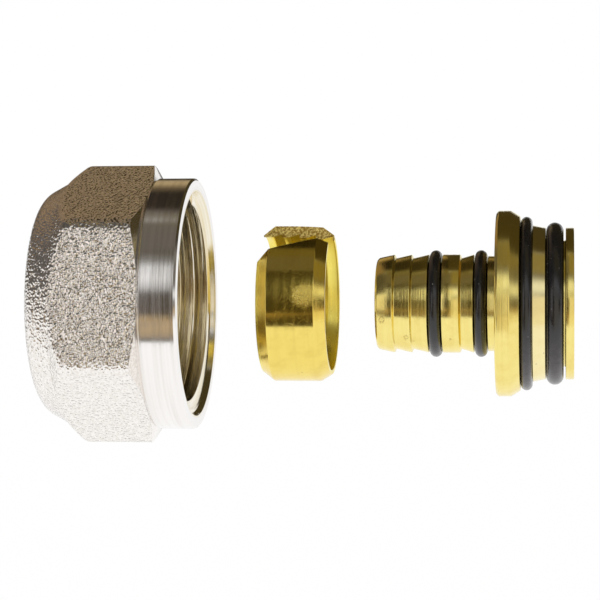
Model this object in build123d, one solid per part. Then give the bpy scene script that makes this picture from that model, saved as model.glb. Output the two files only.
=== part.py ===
from build123d import *

import os
from math import cos, pi, radians, tan

# Compression adapter for a plastic pipe: cap nut, split clamp ring and barbed insert with seals.
# The pieces lie apart on one axis, X, in the order in which they slip over the pipe.
# The nose of the insert ends at X = 0 and faces +X, and the nut lies furthest to -X.

# Pipe that the adapter holds
pipe_r = 8.0
pipe_hole_gap = 0.4
pipe_ring_gap = 0.2

# Insert: lengths follow each other from the nose to the free end of the tail
waterway_r = 4.1
mouth_chamfer = 0.4
nose_land_length = 1.0
nose_groove_width = 2.4
cone_land_length = 1.55
cone_groove_width = 1.5
shoulder_length = 1.15
flange_length = 1.75
neck_length = 1.0
tail_groove_width = 1.7
rear_barb_length = 1.7
tail_land_length = 2.1
front_barb_length = 2.1
front_barb_count = 3

# Insert: radii
nose_r = 9.2
cone_r = 9.5
shoulder_r = 10.6
flange_r = 11.3
neck_r = 5.8
tail_r = 6.0
barb_depth = 0.45
tail_end_r = 5.6
tail_end_edge = 0.25
flange_edge = 0.3

# Seals: section diameter, and how far each stands proud of its land
tail_seal_section = 1.45
tail_seal_proud = 0.47
cone_seal_section = 1.4
cone_seal_proud = 1.0
nose_seal_section = 2.1
nose_seal_proud = 0.6
seal_seat_gap = 0.03
seal_side_gap = 0.05

# Split clamp ring
ring_wall = 1.33
ring_length = 8.4
ring_rear_chamfer = 1.4
ring_rear_drop = 1.1
ring_front_chamfer = 1.3
ring_front_drop = 0.8
ring_tooth_pitch = 2.0
ring_tooth_count = 4
ring_tooth_depth = 0.38
ring_tooth_land = 0.8
slit_width = 6.5
slit_slant = 18.5
slit_turn = 19.0

# Cap nut: lengths run from its pipe end
nut_length = 18.95
nut_across_flats = 30.4
nut_corner_round = 2.1
nut_forged_round = 1.0
nut_turn = 3.3
nut_cone_inset = 0.1
nut_cone_slope = 51.0
nut_dome_rise = 1.85
nut_dome_slope = 28.5
nut_dome_round = 2.8
nut_hex_end = 14.3
nut_hex_chamfer = 1.0
nut_hex_drop = 2.2
nut_collar_r = 15.5
nut_collar_edge = 0.25
nut_rear_wall = 2.6
nut_cavity_end = 7.0
nut_thread_r = 13.22
nut_mouth_chamfer = 0.7
nut_mouth_depth = 1.5
nut_ring_gap = 0.3

# Spaces between the pieces as they lie in a row
ring_to_tail = 5.65
nut_to_ring = 8.45

# Sizes that follow from the above
pipe_hole_r = pipe_r + pipe_hole_gap
ring_bore_r = pipe_r + pipe_ring_gap
ring_r = ring_bore_r + ring_wall
nut_cavity_r = ring_r + nut_ring_gap
nut_cone_r = nut_across_flats / 2 - nut_cone_inset
nut_dome_r = nut_cone_r - nut_dome_rise

nose_groove_x = -nose_land_length
cone_land_x = nose_groove_x - nose_groove_width
cone_groove_x = cone_land_x - cone_land_length
shoulder_x = cone_groove_x - cone_groove_width
flange_x = shoulder_x - shoulder_length
neck_x = flange_x - flange_length
rear_groove_x = neck_x - neck_length
rear_barb_x = rear_groove_x - tail_groove_width
tail_land_x = rear_barb_x - rear_barb_length
front_groove_x = tail_land_x - tail_land_length
front_barb_x = front_groove_x - tail_groove_width
tail_end_x = front_barb_x - front_barb_count * front_barb_length

ring_front_x = tail_end_x - ring_to_tail
ring_rear_x = ring_front_x - ring_length
nut_front_x = ring_rear_x - nut_to_ring
nut_rear_x = nut_front_x - nut_length


def turned(points):
    """Solid of revolution about X from its half section, given as (x, radius) corners."""
    return revolve(make_face(Polyline(*points, close=True)), Axis.X)


def groove_bottom(land_r, section, proud):
    """Radius of the groove floor under a seal that stands proud of the land beside it."""
    return land_r + proud - section - seal_seat_gap


def seal(mid_x, land_r, section, proud):
    """Round rubber seal about X, standing proud of the land beside it."""
    ring_path_r = land_r + proud - section / 2
    return Pos(mid_x, 0, 0) * Rot(0, 90, 0) * Torus(ring_path_r, section / 2)


def insert_section():
    """Outer corners of the insert, from the nose along to the free end of the tail."""
    nose_floor_r = groove_bottom(nose_r, nose_seal_section, nose_seal_proud)
    cone_floor_r = groove_bottom(cone_r, cone_seal_section, cone_seal_proud)
    tail_floor_r = groove_bottom(tail_r, tail_seal_section, tail_seal_proud)
    barb_root_r = tail_r - barb_depth
    points = [
        (0, nose_r),
        (nose_groove_x, nose_r),
        (nose_groove_x, nose_floor_r),
        (cone_land_x, nose_floor_r),
        (cone_land_x, nose_r),
        (cone_groove_x, cone_r),
        (cone_groove_x, cone_floor_r),
        (shoulder_x, cone_floor_r),
        (shoulder_x, shoulder_r),
        (flange_x, flange_r),
        (neck_x + flange_edge, flange_r),
        (neck_x, flange_r - flange_edge),
        (neck_x, neck_r),
        (rear_groove_x, neck_r),
        (rear_groove_x, tail_floor_r),
        (rear_barb_x, tail_floor_r),
        (rear_barb_x, tail_r),
        (tail_land_x, barb_root_r),
        (tail_land_x, tail_r),
        (front_groove_x, tail_r),
        (front_groove_x, tail_floor_r),
        (front_barb_x, tail_floor_r),
    ]
    for barb in range(front_barb_count):
        crest_x = front_barb_x - barb * front_barb_length
        last = barb == front_barb_count - 1
        points.append((crest_x, tail_r))
        if not last:
            points.append((crest_x - front_barb_length, barb_root_r))
    points.append((tail_end_x + tail_end_edge, tail_end_r))
    points.append((tail_end_x, tail_end_r - tail_end_edge))
    return points


def make_insert():
    """Barbed tail, flange and sealing cone turned from one bar, with the waterway through it."""
    bore = [
        (0, waterway_r + mouth_chamfer),
        (-mouth_chamfer, waterway_r),
        (tail_end_x + mouth_chamfer, waterway_r),
        (tail_end_x, waterway_r + mouth_chamfer),
    ]
    return turned(insert_section() + bore[::-1])


def make_clamp_ring():
    """Split ring with a tapered rear edge, sawtooth grooves inside and a slanting slit on top."""
    outside = [
        (ring_rear_x, ring_r - ring_rear_drop),
        (ring_rear_x + ring_rear_chamfer, ring_r),
        (ring_front_x - ring_front_chamfer, ring_r),
        (ring_front_x, ring_r - ring_front_drop),
    ]
    inside = [(ring_front_x, ring_bore_r)]
    teeth_x = (ring_rear_x + ring_front_x + ring_tooth_count * ring_tooth_pitch) / 2
    for tooth in range(ring_tooth_count):
        step_x = teeth_x - tooth * ring_tooth_pitch
        inside.append((step_x, ring_bore_r))
        inside.append((step_x, ring_bore_r + ring_tooth_depth))
        inside.append((step_x - ring_tooth_pitch + ring_tooth_land, ring_bore_r))
    inside.append((ring_rear_x, ring_bore_r))
    mid_x = (ring_rear_x + ring_front_x) / 2
    slit_length = 2 * (ring_length + slit_width)
    slit = Rot(0, 0, slit_slant) * Pos(0, 0, ring_r) * Box(slit_length, slit_width, ring_r)
    return turned(outside + inside) - Pos(mid_x, 0, 0) * Rot(slit_turn, 0, 0) * slit


def nut_outline():
    """Turned envelope of the forged nut: rounded dome, cone over the hexagon and end chamfer."""
    corner_r = nut_across_flats / 2 / cos(pi / 6)
    hex_front_x = nut_rear_x + nut_hex_end
    cone_x = nut_rear_x + (nut_cone_r - nut_dome_r) / tan(radians(nut_dome_slope))
    cone_end_x = cone_x + (corner_r - nut_cone_r) / tan(radians(nut_cone_slope))
    section = make_face(
        Polyline(
            (nut_rear_x, 0),
            (nut_rear_x, nut_dome_r),
            (cone_x, nut_cone_r),
            (cone_end_x, corner_r),
            (hex_front_x - nut_hex_chamfer, corner_r),
            (hex_front_x, corner_r - nut_hex_drop),
            (hex_front_x, 0),
            close=True,
        )
    )
    dome_corner = section.vertices().sort_by_distance(Vector(nut_rear_x, nut_dome_r, 0))[0]
    return revolve(fillet(dome_corner, nut_dome_round), Axis.X)


def make_cap_nut():
    """Hexagon nut with a domed pipe end and a turned collar round the threaded mouth."""
    flats = RegularPolygon(nut_across_flats / 2, 6, major_radius=False)
    flats = fillet(flats.vertices(), nut_corner_round)
    hexagon = Rot(-nut_turn, 0, 0) * Pos(nut_rear_x, 0, 0) * Rot(0, 90, 0) * extrude(flats, nut_length)
    forging = hexagon & nut_outline()
    cone_edges = [
        edge
        for edge in forging.edges()
        if edge.geom_type not in (GeomType.LINE, GeomType.CIRCLE)
        and edge.center().X < nut_rear_x + nut_hex_end / 2
    ]
    forging = fillet(cone_edges, nut_forged_round)
    hex_front_x = nut_rear_x + nut_hex_end
    collar = turned(
        [
            (hex_front_x, 0),
            (hex_front_x, nut_collar_r - nut_collar_edge),
            (hex_front_x + nut_collar_edge, nut_collar_r),
            (nut_front_x - nut_collar_edge, nut_collar_r),
            (nut_front_x, nut_collar_r - nut_collar_edge),
            (nut_front_x, 0),
        ]
    )
    seat_x = nut_rear_x + nut_rear_wall
    bore = turned(
        [
            (nut_rear_x, 0),
            (nut_rear_x, pipe_hole_r + mouth_chamfer),
            (nut_rear_x + mouth_chamfer, pipe_hole_r),
            (seat_x, pipe_hole_r),
            (seat_x + nut_cavity_r - pipe_hole_r, nut_cavity_r),
            (nut_rear_x + nut_cavity_end, nut_cavity_r),
            (nut_rear_x + nut_cavity_end, nut_thread_r),
            (nut_front_x - nut_mouth_depth, nut_thread_r),
            (nut_front_x, nut_thread_r + nut_mouth_chamfer),
            (nut_front_x, 0),
        ]
    )
    return forging + collar - bore


def make_seals():
    """The four rubber seals, by name, each in the groove that holds it."""
    rear_mid_x = rear_groove_x - tail_groove_width / 2
    front_mid_x = front_groove_x - tail_groove_width / 2
    cone_mid_x = cone_groove_x - cone_groove_width / 2
    nose_mid_x = cone_land_x + nose_seal_section / 2 + seal_side_gap
    return {
        "tail_end_seal": seal(front_mid_x, tail_r, tail_seal_section, tail_seal_proud),
        "tail_root_seal": seal(rear_mid_x, tail_r, tail_seal_section, tail_seal_proud),
        "cone_seal": seal(cone_mid_x, cone_r, cone_seal_section, cone_seal_proud),
        "nose_seal": seal(nose_mid_x, nose_r, nose_seal_section, nose_seal_proud),
    }


pieces = {
    "cap_nut": make_cap_nut(),
    "clamp_ring": make_clamp_ring(),
    "insert": make_insert(),
    **make_seals(),
}

os.makedirs("parts", exist_ok=True)
for name, piece in pieces.items():
    export_step(piece, f"parts/{name}.step")
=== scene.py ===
from math import pi, radians

import bpy
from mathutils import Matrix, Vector


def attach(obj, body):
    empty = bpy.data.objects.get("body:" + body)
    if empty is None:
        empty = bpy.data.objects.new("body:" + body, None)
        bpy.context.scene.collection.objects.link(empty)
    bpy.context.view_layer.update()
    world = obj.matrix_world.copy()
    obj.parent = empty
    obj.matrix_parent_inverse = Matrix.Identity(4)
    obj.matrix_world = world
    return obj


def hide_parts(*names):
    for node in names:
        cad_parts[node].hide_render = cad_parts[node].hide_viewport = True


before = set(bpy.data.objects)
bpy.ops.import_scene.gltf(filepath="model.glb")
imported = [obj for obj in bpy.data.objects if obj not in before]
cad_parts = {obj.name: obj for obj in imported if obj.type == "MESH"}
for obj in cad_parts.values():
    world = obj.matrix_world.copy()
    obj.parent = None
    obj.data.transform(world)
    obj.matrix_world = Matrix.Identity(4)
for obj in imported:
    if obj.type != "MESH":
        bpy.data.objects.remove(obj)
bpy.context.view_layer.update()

MM = 0.001

# Camera: place of its lens, turn to the left and focal length on a 36 mm sensor
CAMERA_PLACE = (-1.4 * MM, -257.9 * MM, 0.43 * MM)
CAMERA_TURN = 7.1
CAMERA_LENS = 126.4

# Studio: pale floor, and a curved card that hangs over the row and is seen in the gloss only
FLOOR_Z = -60 * MM
FLOOR_SIZE = 12.0
FLOOR_WHITE = (0.9, 0.9, 0.9, 1)
FLOOR_GLOW, FLOOR_GLOW_SHARE = 1.03, 0.75
CARD_R = 240 * MM
CARD_LENGTH = 3.0
CARD_MID_X = -33 * MM
CARD_AROUND = 128
CARD_FRONT_FOOT = 140 * MM
CARD_LOWEST, CARD_HIGHEST = -40.0, 200.0

# Patches of the card, each with its two ends along X in mm, its two angles and its tone
CARD_PATCHES = [
    # Dark flag facing the clamp ring, its lower part, and two more over the ring
    (-86, -47, -14, 48, (0.050, 0.040, 0.018)),
    (-63, -37, -36, -14, (0.050, 0.040, 0.018)),
    (-86, -47, 72, 88, (0.14, 0.115, 0.050)),
    (-86, -47, 88, 125, (0.020, 0.016, 0.008)),
    # Grey one under the nut's collar
    (-84, -64, -40, -29, (0.16, 0.145, 0.13)),
    # Pale one and a brown one facing the land of the tail
    (-47, -22, 8, 33, (1.0, 0.97, 0.86)),
    (-47, -22, -10, 8, (0.20, 0.165, 0.09)),
    # Two pale ones facing the flange and the cone, and two dark ones over the insert
    (-22, 300, -14, 11, (0.84, 0.77, 0.64)),
    (-18, 300, -36, -14, (0.90, 0.84, 0.70)),
    (-22, 300, 46, 80, (0.24, 0.195, 0.080)),
    (-47, 300, 83, 162, (0.055, 0.042, 0.016)),
    # Four for the nut's flats, from low to high, and one for its dome
    (-300, -84, -36, -17, (0.26, 0.23, 0.21)),
    (-300, -107, -17, 22, (0.90, 0.85, 0.82)),
    (-300, -107, 25, 83, (0.085, 0.078, 0.070)),
    (-300, -107, 83, 160, (0.26, 0.183, 0.112)),
    (-1490, -300, -6, 150, (0.125, 0.112, 0.104)),
    # White one behind, for the chamfer of the nut's hexagon
    (-45, 300, 162, 200, (0.95, 0.95, 0.95)),
]
PATCH_END_SOFT, PATCH_LOW_SOFT, PATCH_HIGH_SOFT = 2, 1, 2

# Tones of the card by angle, from below the horizon in front, over the top at 90, to the back
CARD_TONES = [
    (-34, (0.40, 0.32, 0.25)),
    (-26, (0.42, 0.32, 0.20)),
    (-19, (0.54, 0.39, 0.21)),
    (-12, (0.36, 0.26, 0.13)),
    (-8, (0.065, 0.050, 0.038)),
    (8, (0.070, 0.058, 0.050)),
    (15, (0.60, 0.60, 0.60)),
    (22, (0.88, 0.88, 0.88)),
    (31, (0.86, 0.86, 0.86)),
    (38, (0.28, 0.27, 0.25)),
    (45, (0.14, 0.122, 0.100)),
    (75, (0.14, 0.120, 0.095)),
    (79, (0.32, 0.30, 0.27)),
    (84, (0.19, 0.17, 0.14)),
    (89, (0.14, 0.12, 0.10)),
    (95, (0.022, 0.018, 0.014)),
    (118, (0.022, 0.018, 0.014)),
    (128, (0.12, 0.085, 0.045)),
    (140, (0.42, 0.31, 0.16)),
    (150, (0.38, 0.29, 0.16)),
    (156, (0.05, 0.04, 0.03)),
    (168, (0.07, 0.06, 0.05)),
    (174, (0.80, 0.80, 0.80)),
    (200, (0.85, 0.85, 0.85)),
]

# How finely round pieces are divided, how far edges are eased in mm, and the angle up to which
# neighbouring faces are shaded smooth
INSERT_AROUND = RING_AROUND = 160
SEAL_AROUND, SEAL_SECTION_POINTS = 120, 40
THREAD_AROUND = 96
INSERT_EDGE_ROUND, RING_EDGE_ROUND = 0.07, 0.05
INSERT_SMOOTH, RING_SMOOTH, SEAL_SMOOTH, THREAD_SMOOTH = 70, 50, 40, 35
MERGE_DISTANCE = 0.001 * MM

# Stations along X and radii, all in mm, as the pieces lie in the row
NOSE_R, CONE_R, SHOULDER_R, FLANGE_R = 9.2, 9.5, 10.6, 11.3
TAIL_R, BARB_ROOT_R, TAIL_END_R, NECK_R, WATERWAY_R = 6.0, 5.55, 5.6, 5.8, 4.1
NOSE_FLOOR_R, CONE_FLOOR_R, TAIL_FLOOR_R = 7.67, 9.07, 4.99
FLANGE_EDGE, TAIL_END_EDGE, MOUTH_CHAMFER = 0.3, 0.25, 0.4
NOSE_GROOVE_X, CONE_LAND_X, CONE_GROOVE_X = -1.0, -3.4, -4.95
SHOULDER_X, FLANGE_X, NECK_X = -6.45, -7.6, -9.35
ROOT_GROOVE_X, ROOT_BARB_X, TAIL_LAND_X = -10.35, -12.05, -13.75
END_GROOVE_X, END_BARB_X, MIDDLE_BARB_X, LAST_BARB_X = -15.85, -17.55, -19.65, -21.75
TAIL_END_X = -23.85
BARB_LEAN = 0.2
INSERT_OUTLINE = [
    (0.0, NOSE_R),
    (NOSE_GROOVE_X, NOSE_R),
    (NOSE_GROOVE_X, NOSE_FLOOR_R),
    (CONE_LAND_X, NOSE_FLOOR_R),
    (CONE_LAND_X, NOSE_R),
    (CONE_GROOVE_X, CONE_R),
    (CONE_GROOVE_X, CONE_FLOOR_R),
    (SHOULDER_X, CONE_FLOOR_R),
    (SHOULDER_X, SHOULDER_R),
    (FLANGE_X, FLANGE_R),
    (NECK_X + FLANGE_EDGE, FLANGE_R),
    (NECK_X, FLANGE_R - FLANGE_EDGE),
    (NECK_X, NECK_R),
    (ROOT_GROOVE_X, NECK_R),
    (ROOT_GROOVE_X, TAIL_FLOOR_R),
    (ROOT_BARB_X, TAIL_FLOOR_R),
    (ROOT_BARB_X, TAIL_R),
    (TAIL_LAND_X + BARB_LEAN, BARB_ROOT_R),
    (TAIL_LAND_X, TAIL_R),
    (END_GROOVE_X, TAIL_R),
    (END_GROOVE_X, TAIL_FLOOR_R),
    (END_BARB_X, TAIL_FLOOR_R),
    (END_BARB_X, TAIL_R),
    (MIDDLE_BARB_X + BARB_LEAN, BARB_ROOT_R),
    (MIDDLE_BARB_X, TAIL_R),
    (LAST_BARB_X + BARB_LEAN, BARB_ROOT_R),
    (LAST_BARB_X, TAIL_R),
    (TAIL_END_X + TAIL_END_EDGE, TAIL_END_R),
    (TAIL_END_X, TAIL_END_R - TAIL_END_EDGE),
    (TAIL_END_X, WATERWAY_R + MOUTH_CHAMFER),
    (TAIL_END_X + MOUTH_CHAMFER, WATERWAY_R),
    (-MOUTH_CHAMFER, WATERWAY_R),
    (0.0, WATERWAY_R + MOUTH_CHAMFER),
]

# Clamp ring: outside, four sawtooth grooves inside, and the slanting slit on top
RING_REAR_X, RING_FRONT_X = -37.9, -29.5
RING_R, RING_BORE_R = 9.53, 8.2
RING_REAR_CHAMFER, RING_REAR_DROP = 1.4, 1.1
RING_FRONT_CHAMFER, RING_FRONT_DROP = 1.3, 0.8
RING_TOOTH_PITCH, RING_TOOTH_LAND, RING_TOOTH_DEPTH = 2.0, 0.8, 0.38
RING_TEETH_X = (-29.7, -31.7, -33.7, -35.7)
SLIT_MID_X = -33.7
SLIT_LENGTH, SLIT_WIDTH = 29.8, 6.5
SLIT_SLANT, SLIT_TURN = 18.5, 19.0

# Marks on the front: a round rub on the ring, and dried drops on the insert's tail
# Each has its place along X, its height and its radius, and a drop how dark it is
RUB_MARK = (-32.0, 0.9, 1.35)
DROP_MARKS = [
    (-22.97, -1.94, 0.30, 0.75),
    (-20.10, -4.10, 0.22, 0.6),
    (-19.3, -4.50, 0.08, 0.25),
    (-14.80, -4.30, 0.06, 0.5),
]

# Seals: middle along X, radius to the middle of the section, section diameter
SEALS = {
    "tail_end_seal": (-16.70, 5.745, 1.45),
    "tail_root_seal": (-11.20, 5.745, 1.45),
    "cone_seal": (-5.70, 9.80, 1.40),
    "nose_seal": (-2.30, 8.75, 2.10),
}
MOULD_LINE = 0.05

# Nut: where its turned collar starts, the chamfer of its hexagon, its cavity, and its thread
NUT_REAR_X, NUT_COLLAR_X = -65.3, -51.0
NUT_CHAMFER_R, NUT_CHAMFER_RISE = 15.35, 2.2
NUT_MOUTH_R = 14.1
NUT_CAVITY_R, NUT_CAVITY_END_X = 9.95, -58.3
THREAD_PITCH = 1.814
THREAD_BASE_R, THREAD_FOOT_R = 14.1, 13.32
THREAD_FLANK_R, THREAD_CREST_R = 12.12, 12.06
THREAD_HALF_ROOT, THREAD_HALF_CREST = 0.40 * THREAD_PITCH, 0.11 * THREAD_PITCH
THREAD_START_X, THREAD_END_X = -59.5, -45.0
THREAD_ZONE = [(-58.3, 11.6), (-58.3, 14.0), (-47.0, 14.0), (-47.1, 11.6)]

# Tones of the finishes
# The first nickel tone is painted shade for the dents of the blasted grain.
NICKEL_PAINTED_DENT_SHADE, NICKEL_BRIGHT = (0.87, 0.83, 0.78), (0.97, 0.94, 0.91)
COLLAR_BRIGHT, COLLAR_STREAK = (0.96, 0.935, 0.91), (0.70, 0.66, 0.62)
THIN_PLATE, THIN_PLATE_STREAK = (0.97, 0.92, 0.80), (0.84, 0.76, 0.57)
PLATE_SPECK = (0.10, 0.08, 0.06)
PIT_BROWN = (0.16, 0.10, 0.03)
RING_YELLOW, RING_DULL, RING_BORE_YELLOW = (0.93, 0.73, 0.18), (0.80, 0.58, 0.12), (1.0, 0.84, 0.18)
TORN_DARK, TORN_BRIGHT = (0.34, 0.21, 0.045), (1.0, 0.86, 0.36)
INSERT_YELLOW, INSERT_DULL = (0.97, 0.82, 0.29), (0.86, 0.67, 0.18)
# The first tone is a painted highlight for the cone's land; the second is the stain of dried drops.
CONE_LAND_PAINTED_HIGHLIGHT, DROP_BROWN = (1.0, 0.97, 0.85), (0.34, 0.21, 0.05)
RUBBER_BLACK, RUBBER_WORN = (0.004, 0.004, 0.005), (0.009, 0.008, 0.008)
# Of the next two tones, the first is a painted floor reflection for the seals' underside and the
# second is real dust.
RUBBER_PAINTED_REFLECTION, DUST_GREY = (0.12, 0.105, 0.108), (0.30, 0.29, 0.27)


# Modelling by hand, in small steps

def only_select(piece):
    """Deselect everything and make one piece active."""
    bpy.ops.object.select_all(action="DESELECT")
    piece.select_set(True)
    bpy.context.view_layer.objects.active = piece


def drawn_outline(name, outline, edge_round=0.0):
    """Closed outline in the XZ plane: one point pulled along the (x, radius) corners, then eased."""
    bpy.ops.object.select_all(action="DESELECT")
    bpy.ops.mesh.primitive_plane_add(size=MM)
    piece = bpy.context.object
    piece.name = name
    bpy.ops.object.mode_set(mode="EDIT")
    bpy.ops.mesh.merge(type="CENTER")
    at = Vector((0, 0, 0))
    for number, (x, r) in enumerate(outline):
        step = Vector((x * MM, 0, r * MM)) - at
        if number == 0:
            bpy.ops.transform.translate(value=step)
        else:
            bpy.ops.mesh.extrude_region_move(TRANSFORM_OT_translate={"value": step})
        at += step
    bpy.ops.mesh.select_mode(type="VERT")
    bpy.ops.mesh.select_all(action="DESELECT")
    bpy.ops.object.mode_set(mode="OBJECT")
    ends_of_edges = [number for edge in piece.data.edges for number in edge.vertices]
    for point in piece.data.vertices:
        point.select = ends_of_edges.count(point.index) == 1
    bpy.ops.object.mode_set(mode="EDIT")
    bpy.ops.mesh.edge_face_add()
    bpy.ops.mesh.select_all(action="SELECT")
    if edge_round:
        bpy.ops.mesh.bevel(offset=edge_round * MM, segments=2, affect="VERTICES")
        bpy.ops.mesh.select_all(action="SELECT")
    bpy.ops.object.mode_set(mode="OBJECT")
    return piece


def spun(piece, steps):
    """Spin the outline once about X, close the seam and turn the faces outwards."""
    only_select(piece)
    bpy.ops.object.mode_set(mode="EDIT")
    bpy.ops.mesh.select_all(action="SELECT")
    bpy.ops.mesh.spin(steps=steps, angle=2 * pi, center=(0, 0, 0), axis=(1, 0, 0))
    bpy.ops.mesh.select_all(action="SELECT")
    bpy.ops.mesh.remove_doubles(threshold=MERGE_DISTANCE)
    bpy.ops.mesh.normals_make_consistent(inside=False)
    bpy.ops.object.mode_set(mode="OBJECT")
    return piece


def apply_modifier(piece, kind, **settings):
    """Add a modifier with its settings and apply it."""
    only_select(piece)
    modifier = piece.modifiers.new(kind.lower(), kind)
    for name, value in settings.items():
        setattr(modifier, name, value)
    bpy.ops.object.modifier_apply(modifier=modifier.name)


def finished(piece, angle, flat_faces=False):
    """Smooth shading up to an angle; where asked, wide faces stay flat up to their eased edges."""
    only_select(piece)
    bpy.ops.object.shade_smooth_by_angle(angle=radians(angle))
    if flat_faces:
        apply_modifier(piece, "WEIGHTED_NORMAL", weight=80, keep_sharp=True)
    return piece


def make_insert():
    """Barbed tail, flange and stepped cone, turned in one piece with every edge eased."""
    outline = drawn_outline("turned_insert", INSERT_OUTLINE, INSERT_EDGE_ROUND)
    return finished(spun(outline, INSERT_AROUND), INSERT_SMOOTH, flat_faces=True)


def make_slit_cutter():
    """Block that saws the slanting slit through the top of the clamp ring."""
    bpy.ops.object.select_all(action="DESELECT")
    bpy.ops.mesh.primitive_cube_add(
        size=1, location=(0, 0, RING_R * MM), rotation=(0, 0, radians(SLIT_SLANT)),
        scale=(SLIT_LENGTH * MM, SLIT_WIDTH * MM, RING_R * MM),
    )
    cutter = bpy.context.object
    bpy.ops.object.transform_apply(location=True, rotation=True, scale=True)
    cutter.rotation_euler = (radians(SLIT_TURN), 0, 0)
    cutter.location = (SLIT_MID_X * MM, 0, 0)
    bpy.ops.object.transform_apply(location=True, rotation=True, scale=True)
    return cutter


def make_clamp_ring():
    """Split ring turned with eased edges and sawtooth grooves, then sawn through on a slant."""
    outline = [
        (RING_REAR_X, RING_R - RING_REAR_DROP),
        (RING_REAR_X + RING_REAR_CHAMFER, RING_R),
        (RING_FRONT_X - RING_FRONT_CHAMFER, RING_R),
        (RING_FRONT_X, RING_R - RING_FRONT_DROP),
        (RING_FRONT_X, RING_BORE_R),
    ]
    for step_x in RING_TEETH_X:
        outline.append((step_x, RING_BORE_R))
        outline.append((step_x, RING_BORE_R + RING_TOOTH_DEPTH))
        outline.append((step_x - RING_TOOTH_PITCH + RING_TOOTH_LAND, RING_BORE_R))
    outline.append((RING_REAR_X, RING_BORE_R))
    piece = spun(drawn_outline("split_clamp_ring", outline, RING_EDGE_ROUND), RING_AROUND)
    cutter = make_slit_cutter()
    apply_modifier(piece, "BOOLEAN", operation="DIFFERENCE", object=cutter, solver="EXACT")
    bpy.data.objects.remove(cutter)
    return finished(piece, RING_SMOOTH, flat_faces=True)


def make_seal(name, mid_x, path_r, section):
    """Moulded rubber ring with the fine line left by the two halves of its mould."""
    bpy.ops.object.select_all(action="DESELECT")
    bpy.ops.mesh.primitive_circle_add(
        vertices=SEAL_SECTION_POINTS, radius=section / 2 * MM,
        location=(mid_x * MM, 0, path_r * MM), rotation=(pi / 2, 0, 0),
    )
    piece = bpy.context.object
    piece.name = "rubber_" + name
    bpy.ops.object.transform_apply(location=True, rotation=True, scale=True)
    outermost = max(piece.data.vertices, key=lambda point: point.co.z).index
    for point in piece.data.vertices:
        point.select = point.index == outermost
    bpy.ops.object.mode_set(mode="EDIT")
    bpy.ops.mesh.select_mode(type="VERT")
    bpy.ops.transform.translate(value=(0, 0, MOULD_LINE * MM))
    bpy.ops.object.mode_set(mode="OBJECT")
    return finished(spun(piece, SEAL_AROUND), SEAL_SMOOTH)


def make_nut_thread():
    """Ridge of the pipe thread, wound through the nut's wall and cut square at both ends."""
    ridge = [
        (THREAD_START_X - THREAD_HALF_ROOT, THREAD_BASE_R),
        (THREAD_START_X - THREAD_HALF_ROOT, THREAD_FOOT_R),
        (THREAD_START_X - THREAD_HALF_CREST, THREAD_FLANK_R),
        (THREAD_START_X, THREAD_CREST_R),
        (THREAD_START_X + THREAD_HALF_CREST, THREAD_FLANK_R),
        (THREAD_START_X + THREAD_HALF_ROOT, THREAD_FOOT_R),
        (THREAD_START_X + THREAD_HALF_ROOT, THREAD_BASE_R),
    ]
    piece = drawn_outline("nut_thread_ridge", ridge)
    turns = int((THREAD_END_X - THREAD_START_X) / THREAD_PITCH)
    apply_modifier(
        piece, "SCREW", axis="X", steps=THREAD_AROUND, render_steps=THREAD_AROUND, angle=2 * pi,
        screw_offset=THREAD_PITCH * MM, iterations=turns, use_merge_vertices=False,
    )
    bpy.ops.object.mode_set(mode="EDIT")
    bpy.ops.mesh.select_all(action="SELECT")
    bpy.ops.mesh.remove_doubles(threshold=MERGE_DISTANCE)
    bpy.ops.mesh.select_all(action="DESELECT")
    bpy.ops.mesh.select_non_manifold()
    bpy.ops.mesh.edge_face_add()
    bpy.ops.mesh.select_all(action="SELECT")
    bpy.ops.mesh.normals_make_consistent(inside=False)
    bpy.ops.object.mode_set(mode="OBJECT")
    zone = spun(drawn_outline("thread_zone", THREAD_ZONE), THREAD_AROUND)
    apply_modifier(piece, "BOOLEAN", operation="INTERSECT", object=zone, solver="EXACT")
    bpy.data.objects.remove(zone)
    return finished(piece, THREAD_SMOOTH)


# Materials

def new_node(tree, kind, **values):
    """New node of a tree, with its sockets or settings given by name."""
    node = tree.nodes.new(kind)
    for name, value in values.items():
        if name in node.inputs:
            node.inputs[name].default_value = value
        else:
            setattr(node, name, value)
    return node


def math(tree, operation, *values):
    """Math node fed by sockets or plain numbers; gives its output."""
    node = new_node(tree, "ShaderNodeMath", operation=operation)
    for number, value in enumerate(values):
        if isinstance(value, (int, float)):
            node.inputs[number].default_value = value
        else:
            tree.links.new(value, node.inputs[number])
    return node.outputs[0]


def times(tree, first, second):
    """Product of two sockets, or of a socket and a number."""
    return math(tree, "MULTIPLY", first, second)


def plus(tree, base, value, share):
    """The base with a share of the value added to it."""
    return math(tree, "MULTIPLY_ADD", value, share, base)


def step_up(tree, value, low, high):
    """0 below low, 1 above high, and a soft step between them; it runs down if low is the higher."""
    node = new_node(tree, "ShaderNodeMapRange", interpolation_type="SMOOTHSTEP")
    tree.links.new(value, node.inputs["Value"])
    node.inputs["From Min"].default_value = low
    node.inputs["From Max"].default_value = high
    return node.outputs["Result"]


def between(tree, value, low, high, low_soft, high_soft):
    """1 from low to high and 0 outside, with soft ends."""
    above = step_up(tree, value, low - low_soft, low + low_soft)
    below = step_up(tree, value, high + high_soft, high - high_soft)
    return times(tree, above, below)


def blended(tree, share, first, second):
    """Colour between two colours or colour sockets."""
    node = new_node(tree, "ShaderNodeMix", data_type="RGBA")
    sockets = node.inputs["Factor"], node.inputs[6], node.inputs[7]
    for socket, value in zip(sockets, (share, first, second)):
        if isinstance(value, tuple):
            socket.default_value = (*value, 1)
        else:
            tree.links.new(value, socket)
    return node.outputs[2]


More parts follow.
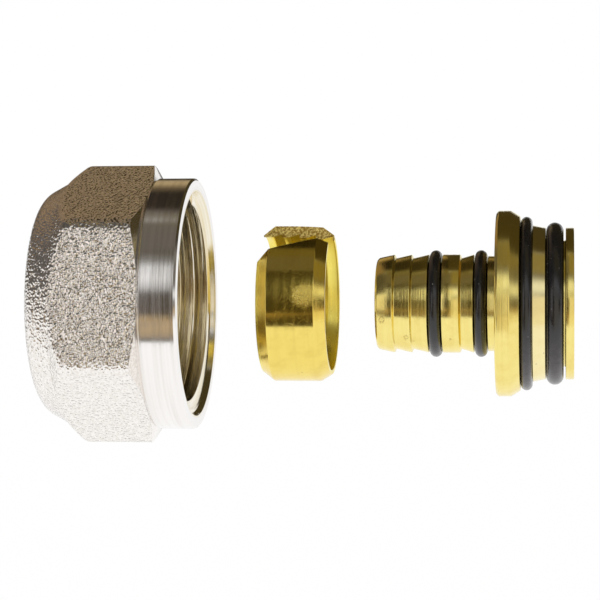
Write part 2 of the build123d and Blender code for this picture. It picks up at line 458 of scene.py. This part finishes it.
def new_group(name, inputs, outputs):
    """Empty shader node group with float inputs and outputs, beside the place in mm."""
    group = bpy.data.node_groups.new(name, "ShaderNodeTree")
    group.interface.new_socket("Place", in_out="INPUT", socket_type="NodeSocketVector")
    for label, value in inputs.items():
        socket = group.interface.new_socket(label, in_out="INPUT", socket_type="NodeSocketFloat")
        socket.default_value = value
    for label in outputs:
        group.interface.new_socket(label, in_out="OUTPUT", socket_type="NodeSocketFloat")
    return group, new_node(group, "NodeGroupInput"), new_node(group, "NodeGroupOutput")


def axis_and_radius(tree, place):
    """X along the axis and the distance from it, of a place in mm, with its Y and Z."""
    split = new_node(tree, "ShaderNodeSeparateXYZ")
    tree.links.new(place, split.inputs[0])
    y, z = split.outputs["Y"], split.outputs["Z"]
    square = math(tree, "ADD", times(tree, y, y), times(tree, z, z))
    return split.outputs["X"], math(tree, "SQRT", square), y, z


def noise(tree, place, scale, detail=2.0, roughness=0.5):
    """Even, cloudy values from 0 to 1 over a place."""
    node = new_node(tree, "ShaderNodeTexNoise", Scale=scale, Detail=detail, Roughness=roughness)
    tree.links.new(place, node.inputs["Vector"])
    return node.outputs["Fac"]


def build_lathe_lines():
    """Fine lines round the axis, as a turning tool leaves them on walls, cones and end faces."""
    inputs = {"Lines per mm": 5.0, "Length": 1.2}
    group, given, put = new_group("lathe_lines", inputs, ("Height", "Streak"))
    x, r, y, z = axis_and_radius(group, given.outputs["Place"])
    along = times(group, plus(group, x, r, 0.8), given.outputs["Lines per mm"])
    stretch = math(group, "DIVIDE", given.outputs["Length"], r)
    place = new_node(group, "ShaderNodeCombineXYZ")
    group.links.new(along, place.inputs["X"])
    group.links.new(times(group, y, stretch), place.inputs["Y"])
    group.links.new(times(group, z, stretch), place.inputs["Z"])
    fine = noise(group, place.outputs[0], scale=1.0, detail=3.0, roughness=0.6)
    coarse = noise(group, place.outputs[0], scale=0.35, detail=1.0)
    group.links.new(fine, put.inputs["Height"])
    group.links.new(step_up(group, coarse, low=0.35, high=0.68), put.inputs["Streak"])
    return group


def build_blasted_grain():
    """Closely packed dents that shot leaves on a forging."""
    group, given, put = new_group("blasted_grain", {"Dents per mm": 4.0}, ("Height", "Speckle"))
    heights = []
    for share, detail in ((1.0, 0.0), (0.43, 1.0)):
        node = new_node(group, "ShaderNodeTexNoise", Detail=detail)
        group.links.new(given.outputs["Place"], node.inputs["Vector"])
        group.links.new(times(group, given.outputs["Dents per mm"], share), node.inputs["Scale"])
        heights.append(node.outputs["Fac"])
    small, large = heights
    group.links.new(plus(group, small, large, 0.8), put.inputs["Height"])
    # Speckle is 1 on the grain's tops and 0 in its dents; the nut uses it for painted shade in the
    # dents.
    group.links.new(step_up(group, small, low=0.36, high=0.64), put.inputs["Speckle"])
    return group


def build_specks():
    """Few small round marks, scattered over the surface."""
    inputs = {"Cells per mm": 0.9, "Size": 0.14, "Share": 0.2}
    group, given, put = new_group("specks", inputs, ("Mask",))
    cells = new_node(group, "ShaderNodeTexVoronoi", feature="F1")
    group.links.new(given.outputs["Place"], cells.inputs["Vector"])
    group.links.new(given.outputs["Cells per mm"], cells.inputs["Scale"])
    near = math(group, "LESS_THAN", cells.outputs["Distance"], given.outputs["Size"])
    split = new_node(group, "ShaderNodeSeparateColor")
    group.links.new(cells.outputs["Color"], split.inputs[0])
    chosen = math(group, "LESS_THAN", split.outputs["Red"], given.outputs["Share"])
    group.links.new(times(group, near, chosen), put.inputs["Mask"])
    return group


def build_scratches():
    """Fine hair lines that wander over the surface, in patches."""
    inputs = {"Lines per mm": 0.9, "Width": 0.02}
    group, given, put = new_group("scratches", inputs, ("Mask",))
    node = new_node(group, "ShaderNodeTexNoise", Detail=0.5, Distortion=0.7)
    group.links.new(given.outputs["Place"], node.inputs["Vector"])
    group.links.new(given.outputs["Lines per mm"], node.inputs["Scale"])
    off_line = math(group, "ABSOLUTE", math(group, "SUBTRACT", node.outputs["Fac"], 0.5))
    line = math(group, "LESS_THAN", off_line, given.outputs["Width"])
    cloud = noise(group, given.outputs["Place"], scale=0.6, detail=1.0)
    patches = step_up(group, cloud, low=0.42, high=0.58)
    group.links.new(times(group, line, patches), put.inputs["Mask"])
    return group


LATHE_LINES = build_lathe_lines()
BLASTED_GRAIN = build_blasted_grain()
SPECKS = build_specks()
SCRATCHES = build_scratches()


def new_material(name):
    """Material with its tree, its shader and the place on the piece in mm."""
    material = bpy.data.materials.new(name)
    material.use_nodes = True
    tree = material.node_tree
    shader = tree.nodes["Principled BSDF"]
    spot = new_node(tree, "ShaderNodeTexCoord")
    in_mm = new_node(tree, "ShaderNodeVectorMath", operation="SCALE", Scale=1 / MM)
    tree.links.new(spot.outputs["Object"], in_mm.inputs[0])
    return material, tree, shader, in_mm.outputs[0]


def placed(tree, group, place, **values):
    """Outputs of a group set at a place, with its values; underscores stand for spaces."""
    node = new_node(tree, "ShaderNodeGroup", node_tree=group)
    tree.links.new(place, node.inputs["Place"])
    for name, value in values.items():
        node.inputs[name.replace("_", " ")].default_value = value
    return node.outputs


def surface(tree, shader, tone, rough, height, depth):
    """Feed the shader a tone, a roughness and a height, which is in parts of the depth in mm."""
    tree.links.new(tone, shader.inputs["Base Color"])
    tree.links.new(rough, shader.inputs["Roughness"])
    bump = new_node(tree, "ShaderNodeBump", Strength=1.0, Distance=depth * MM)
    tree.links.new(height, bump.inputs["Height"])
    tree.links.new(bump.outputs["Normal"], shader.inputs["Normal"])


def nickel_plate():
    """Plated nut: blasted forging with painted shade in its dents, bright turned collar, and a
    yellower bore with thin plate.
    """
    material, tree, shader, place = new_material("nickel_plate")
    x, r, _, _ = axis_and_radius(tree, place)
    in_mouth = times(tree, math(tree, "LESS_THAN", r, NUT_MOUTH_R),
                     math(tree, "GREATER_THAN", x, NUT_CAVITY_END_X - 0.1))
    in_cavity = times(tree, math(tree, "LESS_THAN", r, NUT_CAVITY_R),
                      math(tree, "GREATER_THAN", x, NUT_REAR_X + 0.1))
    inside = math(tree, "MAXIMUM", in_mouth, in_cavity)
    collar = step_up(tree, x, NUT_COLLAR_X - 0.12, NUT_COLLAR_X - 0.02)
    cone_start = NUT_CHAMFER_R + NUT_CHAMFER_RISE * NUT_COLLAR_X
    cone_r = plus(tree, cone_start, x, -NUT_CHAMFER_RISE)
    chamfer = math(tree, "GREATER_THAN", r, math(tree, "SUBTRACT", cone_r, 0.05))
    turned = math(tree, "MAXIMUM", math(tree, "MAXIMUM", inside, collar), chamfer)
    forged = math(tree, "SUBTRACT", 1.0, turned)
    grain = placed(tree, BLASTED_GRAIN, place, Dents_per_mm=3.4)
    lines = placed(tree, LATHE_LINES, place, Lines_per_mm=4.0, Length=1.6)
    dots = placed(tree, SPECKS, place, Cells_per_mm=0.5, Size=0.05, Share=0.10)
    # Painted shade: the grain's dents take a darker tone than its tops.
    tone = blended(tree, grain["Speckle"], NICKEL_PAINTED_DENT_SHADE, NICKEL_BRIGHT)
    bright = blended(tree, times(tree, lines["Streak"], 0.30), COLLAR_BRIGHT, COLLAR_STREAK)
    tone = blended(tree, collar, tone, bright)
    thin_plate = blended(tree, lines["Streak"], THIN_PLATE, THIN_PLATE_STREAK)
    tone = blended(tree, inside, tone, thin_plate)
    tone = blended(tree, times(tree, dots["Mask"], 0.7), tone, PLATE_SPECK)
    rough = plus(tree, 0.12, forged, 0.03)
    rough = plus(tree, rough, times(tree, lines["Streak"], turned), 0.06)
    height = times(tree, grain["Height"], forged)
    line_depth = plus(tree, times(tree, turned, 0.035), in_mouth, 0.05)
    height = plus(tree, height, lines["Height"], line_depth)
    surface(tree, shader, tone, rough, height, depth=0.15)
    shader.inputs["Metallic"].default_value = 1.0
    return material


def distance_from(tree, x, z, mid_x, mid_z):
    """Distance in mm from a mark, seen from the front."""
    along, up = math(tree, "SUBTRACT", x, mid_x), math(tree, "SUBTRACT", z, mid_z)
    return math(tree, "SQRT", plus(tree, times(tree, up, up), along, along))


def saw_cut(tree, place):
    """1 on the two faces that the saw left at the slit of the clamp ring."""
    start = new_node(tree, "ShaderNodeVectorMath", operation="SUBTRACT")
    tree.links.new(place, start.inputs[0])
    start.inputs[1].default_value = (SLIT_MID_X, 0, 0)
    turned = start
    for axis, angle in (("X_AXIS", SLIT_TURN), ("Z_AXIS", SLIT_SLANT)):
        turn = new_node(tree, "ShaderNodeVectorRotate", rotation_type=axis, Angle=-radians(angle))
        tree.links.new(turned.outputs[0], turn.inputs["Vector"])
        turned = turn
    split = new_node(tree, "ShaderNodeSeparateXYZ")
    tree.links.new(turned.outputs[0], split.inputs[0])
    across = math(tree, "ABSOLUTE", split.outputs["Y"])
    near = math(tree, "COMPARE", across, SLIT_WIDTH / 2, 0.03)
    return times(tree, near, math(tree, "GREATER_THAN", split.outputs["Z"], 0.0))


def turned_brass(name, colour, dull, line_depth, roughness):
    """Brass as the lathe leaves it, with fine lines, faint dull streaks and a few dark pits."""
    material, tree, shader, place = new_material(name)
    lines = placed(tree, LATHE_LINES, place, Lines_per_mm=6.0, Length=1.4)
    pits = placed(tree, SPECKS, place, Cells_per_mm=1.1, Size=0.10, Share=0.06)
    cloud = noise(tree, place, scale=0.5, detail=3.0, roughness=0.6)
    dull_cloud = step_up(tree, cloud, low=0.4, high=0.75)
    tone = blended(tree, times(tree, dull_cloud, 0.5), colour, dull)
    tone = blended(tree, times(tree, lines["Streak"], 0.18), tone, dull)
    tone = blended(tree, times(tree, pits["Mask"], 0.7), tone, PIT_BROWN)
    rough = plus(tree, roughness, lines["Streak"], 0.05)
    rough = plus(tree, rough, cloud, 0.08)
    height = times(tree, lines["Height"], line_depth)
    shader.inputs["Metallic"].default_value = 1.0
    return material, tree, shader, place, tone, rough, height


def ring_brass():
    """Brass of the clamp ring, with its rub mark, hair scratches and the torn faces of the saw cut."""
    material, tree, shader, place, tone, rough, height = turned_brass(
        "ring_brass", RING_YELLOW, RING_DULL, line_depth=0.004, roughness=0.09)
    x, r, y, z = axis_and_radius(tree, place)
    front = math(tree, "LESS_THAN", y, 0.0)
    rub_x, rub_z, rub_r = RUB_MARK
    from_rub = distance_from(tree, x, z, rub_x, rub_z)
    ragged = plus(tree, from_rub, noise(tree, place, scale=2.5, detail=3.0), 0.9)
    rub = times(tree, front, step_up(tree, ragged, rub_r + 0.85, rub_r - 0.1))
    hair = placed(tree, SCRATCHES, place, Lines_per_mm=1.3, Width=0.010)["Mask"]
    rubbed = placed(tree, SCRATCHES, place, Lines_per_mm=2.6, Width=0.05)["Mask"]
    marks = math(tree, "MAXIMUM", hair, times(tree, rub, rubbed))
    rubbed_grain = times(tree, rub, noise(tree, place, scale=9.0, detail=3.0, roughness=0.7))
    rough = plus(tree, rough, rubbed_grain, 0.14)
    rough = plus(tree, rough, marks, 0.08)
    height = plus(tree, height, rubbed_grain, 0.020)
    height = plus(tree, height, marks, -0.0009)
    bore = math(tree, "LESS_THAN", r, RING_BORE_R + RING_TOOTH_DEPTH + 0.1)
    tone = blended(tree, bore, tone, RING_BORE_YELLOW)
    rough = plus(tree, rough, bore, 0.14)
    cut = saw_cut(tree, place)
    torn = noise(tree, place, scale=3.6, detail=4.0, roughness=0.7)
    torn_tone = blended(tree, step_up(tree, torn, low=0.40, high=0.64), TORN_DARK, TORN_BRIGHT)
    tone = blended(tree, cut, tone, torn_tone)
    rough = plus(tree, rough, cut, 0.22)
    height = plus(tree, height, times(tree, cut, torn), 0.09)
    surface(tree, shader, tone, rough, height, depth=1.0)
    return material


def insert_brass():
    """Brass of the insert, with a painted highlight that makes the cone's land paler, and a few dried
    drops on its tail.
    """
    material, tree, shader, place, tone, rough, height = turned_brass(
        "insert_brass", INSERT_YELLOW, INSERT_DULL, line_depth=0.009, roughness=0.13)
    x, _, y, z = axis_and_radius(tree, place)
    front = math(tree, "LESS_THAN", y, 0.0)
    # Painted highlight: the cone's land gets a paler, whiter tone.
    cone_land = between(tree, x, CONE_GROOVE_X, CONE_LAND_X + 0.05, 0.05, 0.05)
    tone = blended(tree, times(tree, cone_land, 0.3), tone, CONE_LAND_PAINTED_HIGHLIGHT)
    wobble = plus(tree, -0.28, noise(tree, place, scale=3.2, detail=3.0, roughness=0.7), 0.56)
    ragged = step_up(tree, noise(tree, place, scale=7.0), low=0.30, high=0.62)
    for mark_x, mark_z, mark_r, mark_depth in DROP_MARKS:
        from_rim = math(tree, "SUBTRACT", distance_from(tree, x, z, mark_x, mark_z), mark_r)
        from_rim = math(tree, "ADD", from_rim, wobble)
        rim = step_up(tree, math(tree, "ABSOLUTE", from_rim), low=0.14, high=0.03)
        middle = times(tree, step_up(tree, from_rim, low=0.0, high=-0.1), 0.35)
        stain = times(tree, front, math(tree, "MAXIMUM", rim, middle))
        stain = times(tree, times(tree, stain, mark_depth), ragged)
        tone = blended(tree, stain, tone, DROP_BROWN)
    surface(tree, shader, tone, rough, height, depth=1.0)
    return material


def seal_rubber():
    """Black rubber with a satin skin, a few grains of dust, and a painted reflection of the floor that
    makes its underside a lighter, mottled grey.
    """
    material, tree, shader, place = new_material("seal_rubber")
    _, _, _, z = axis_and_radius(tree, place)
    dust = placed(tree, SPECKS, place, Cells_per_mm=2.2, Size=0.14, Share=0.16)
    cloud = noise(tree, place, scale=1.3, detail=3.0, roughness=0.6)
    tone = blended(tree, cloud, RUBBER_BLACK, RUBBER_WORN)
    # Painted reflection: a lighter, mottled grey towards the underside stands in for the pale floor
    # seen in the gloss.
    painted_reflection = times(tree, step_up(tree, z, low=-2.0, high=-9.5), cloud)
    tone = blended(tree, painted_reflection, tone, RUBBER_PAINTED_REFLECTION)
    tone = blended(tree, times(tree, dust["Mask"], 0.6), tone, DUST_GREY)
    rough = plus(tree, 0.05, cloud, 0.34)
    skin = math(tree, "ADD", noise(tree, place, scale=7.0), dust["Mask"])
    surface(tree, shader, tone, rough, skin, depth=0.012)
    shader.inputs["Specular IOR Level"].default_value = 0.7
    return material


def dress(piece, material, body=None, replaces=None):
    """Give a piece its material; a new piece is also put under its body, and the solid it stands for
    is hidden.
    """
    piece.data.materials.clear()
    piece.data.materials.append(material)
    if body:
        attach(piece, body)
    if replaces:
        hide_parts(replaces)


# Studio

def add_camera():
    """Level camera beside the insert's nose, turned towards the nut."""
    turn = (radians(90), 0, radians(CAMERA_TURN))
    bpy.ops.object.camera_add(location=CAMERA_PLACE, rotation=turn)
    camera = bpy.context.object
    camera.data.lens = CAMERA_LENS
    camera.data.sensor_width = 36
    camera.data.clip_start = 0.01
    bpy.context.scene.camera = camera


def studio_material(name):
    """Material with an empty tree."""
    material = bpy.data.materials.new(name)
    material.use_nodes = True
    material.node_tree.nodes.clear()
    return material, material.node_tree


def add_floor():
    """Pale floor that reads as white, also where it is mirrored, and takes a soft shadow."""
    bpy.ops.object.select_all(action="DESELECT")
    bpy.ops.mesh.primitive_plane_add(size=FLOOR_SIZE, location=(0, 0, FLOOR_Z))
    floor = bpy.context.object
    floor.name = "floor"
    material, tree = studio_material("pale_floor")
    paper = new_node(tree, "ShaderNodeBsdfDiffuse", Color=FLOOR_WHITE)
    glow = new_node(tree, "ShaderNodeEmission", Strength=FLOOR_GLOW)
    mix = new_node(tree, "ShaderNodeMixShader")
    path = new_node(tree, "ShaderNodeLightPath")
    seen = math(tree, "MAXIMUM", path.outputs["Is Camera Ray"], path.outputs["Is Glossy Ray"])
    seen = math(tree, "MAXIMUM", seen, path.outputs["Is Transmission Ray"])
    tree.links.new(times(tree, seen, FLOOR_GLOW_SHARE), mix.inputs["Fac"])
    tree.links.new(paper.outputs[0], mix.inputs[1])
    tree.links.new(glow.outputs[0], mix.inputs[2])
    out = new_node(tree, "ShaderNodeOutputMaterial")
    tree.links.new(mix.outputs[0], out.inputs["Surface"])
    floor.data.materials.append(material)


def make_card():
    """Half round card over the row, open below, with a foot that runs in under its front."""
    bpy.ops.object.select_all(action="DESELECT")
    bpy.ops.mesh.primitive_cylinder_add(
        vertices=CARD_AROUND, radius=CARD_R, depth=CARD_LENGTH, end_fill_type="NOTHING",
        location=(CARD_MID_X, 0, 0), rotation=(0, pi / 2, 0),
    )
    card = bpy.context.object
    card.name = "reflection_card"
    bpy.ops.object.transform_apply(location=True, rotation=True, scale=True)
    bpy.ops.object.mode_set(mode="EDIT")
    bpy.ops.mesh.select_all(action="SELECT")
    foot_z = FLOOR_Z + MM
    bpy.ops.mesh.bisect(plane_co=(0, 0, foot_z), plane_no=(0, 0, 1), clear_inner=True)
    bpy.ops.object.mode_set(mode="OBJECT")
    for point in card.data.vertices:
        point.select = point.co.y < 0 and abs(point.co.z - foot_z) < 10 * MERGE_DISTANCE
    bpy.ops.object.mode_set(mode="EDIT")
    bpy.ops.mesh.select_mode(type="VERT")
    bpy.ops.mesh.extrude_region_move(TRANSFORM_OT_translate={"value": (0, CARD_FRONT_FOOT, 0)})
    bpy.ops.object.mode_set(mode="OBJECT")
    return card


def card_tones():
    """Glow of the card: tones by angle round the row, with patches for single pieces."""
    material, tree = studio_material("card_tones")
    spot = new_node(tree, "ShaderNodeTexCoord")
    split = new_node(tree, "ShaderNodeSeparateXYZ")
    tree.links.new(spot.outputs["Object"], split.inputs[0])
    from_top = math(tree, "ARCTAN2", split.outputs["Y"], split.outputs["Z"])
    span = CARD_HIGHEST - CARD_LOWEST
    share = plus(tree, (90 - CARD_LOWEST) / span, from_top, 1 / radians(span))
    ramp = new_node(tree, "ShaderNodeValToRGB")
    stops = ramp.color_ramp.elements
    while len(stops) < len(CARD_TONES):
        stops.new(1.0)
    for stop, (angle, tone) in zip(stops, CARD_TONES):
        stop.position = (angle - CARD_LOWEST) / span
        stop.color = (*tone, 1)
    tree.links.new(share, ramp.inputs[0])
    x_mm = times(tree, split.outputs["X"], 1 / MM)
    angle = plus(tree, CARD_LOWEST, share, span)
    tone = ramp.outputs["Color"]
    for from_x, to_x, from_angle, to_angle, patch_tone in CARD_PATCHES:
        along = between(tree, x_mm, from_x, to_x, PATCH_END_SOFT, PATCH_END_SOFT)
        round_row = between(tree, angle, from_angle, to_angle, PATCH_LOW_SOFT, PATCH_HIGH_SOFT)
        tone = blended(tree, times(tree, along, round_row), tone, patch_tone)
    glow = new_node(tree, "ShaderNodeEmission", Strength=1.0)
    tree.links.new(tone, glow.inputs["Color"])
    out = new_node(tree, "ShaderNodeOutputMaterial")
    tree.links.new(glow.outputs[0], out.inputs["Surface"])
    return material


def add_card():
    """Card with dark and pale patches that give the metal its contrast, seen in the gloss only."""
    card = make_card()
    card.data.materials.append(card_tones())
    card.visible_camera = False
    card.visible_diffuse = False
    card.visible_shadow = False


def add_sky():
    """Even white light from all round."""
    world = bpy.data.worlds.new("studio")
    bpy.context.scene.world = world
    world.use_nodes = True
    sky = world.node_tree.nodes["Background"]
    sky.inputs["Color"].default_value = (1, 1, 1, 1)
    sky.inputs["Strength"].default_value = 1.0


add_camera()
add_floor()
add_card()
add_sky()

plate = nickel_plate()
ring_metal = ring_brass()
insert_metal = insert_brass()
rubber = seal_rubber()

dress(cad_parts["cap_nut"], plate)
dress(make_nut_thread(), plate, "nut_body")
dress(make_clamp_ring(), ring_metal, "ring_body", "clamp_ring")
dress(make_insert(), insert_metal, "insert_body", "insert")
for seal_name, (mid_x, path_r, section) in SEALS.items():
    seal = make_seal(seal_name, mid_x, path_r, section)
    dress(seal, rubber, "insert_body", seal_name)

bpy.context.scene.view_settings.view_transform = "Standard"
